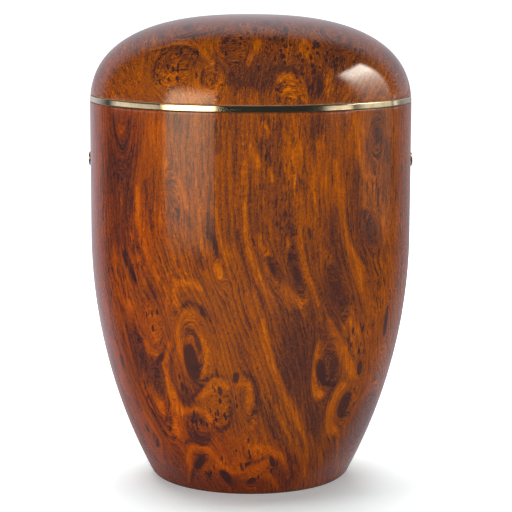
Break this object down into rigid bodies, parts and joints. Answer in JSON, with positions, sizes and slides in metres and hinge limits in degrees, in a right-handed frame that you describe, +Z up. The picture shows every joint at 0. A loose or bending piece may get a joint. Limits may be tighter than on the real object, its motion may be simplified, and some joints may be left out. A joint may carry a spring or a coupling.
{
  "type": "biodegradable cremation urn",
  "caption": "Hollow burl-finished cremation urn with a tapering round body, a domed lift-off lid, a brass strip at the seam and small brass side eyelets.",
  "frame": {"origin": "middle of the flat underside, on the surface the urn stands on", "axes": "+Z up along the urn's axis of revolution, X through the two side eyelets, -Y towards the viewer of the picture"},
  "size_m": [0.2024, 0.1998, 0.2908],
  "materials": {
    "burl_finish": "red-brown burl grain under a clear semi-gloss lacquer, bare moulded fibre inside",
    "polished_brass": "polished"
  },
  "bodies": {
    "root": {"urn_body": "burl_finish", "lid": "burl_finish", "brass_strip": "polished_brass", "eyelet_left": "polished_brass", "eyelet_right": "polished_brass"}
  },
  "joints": []
}
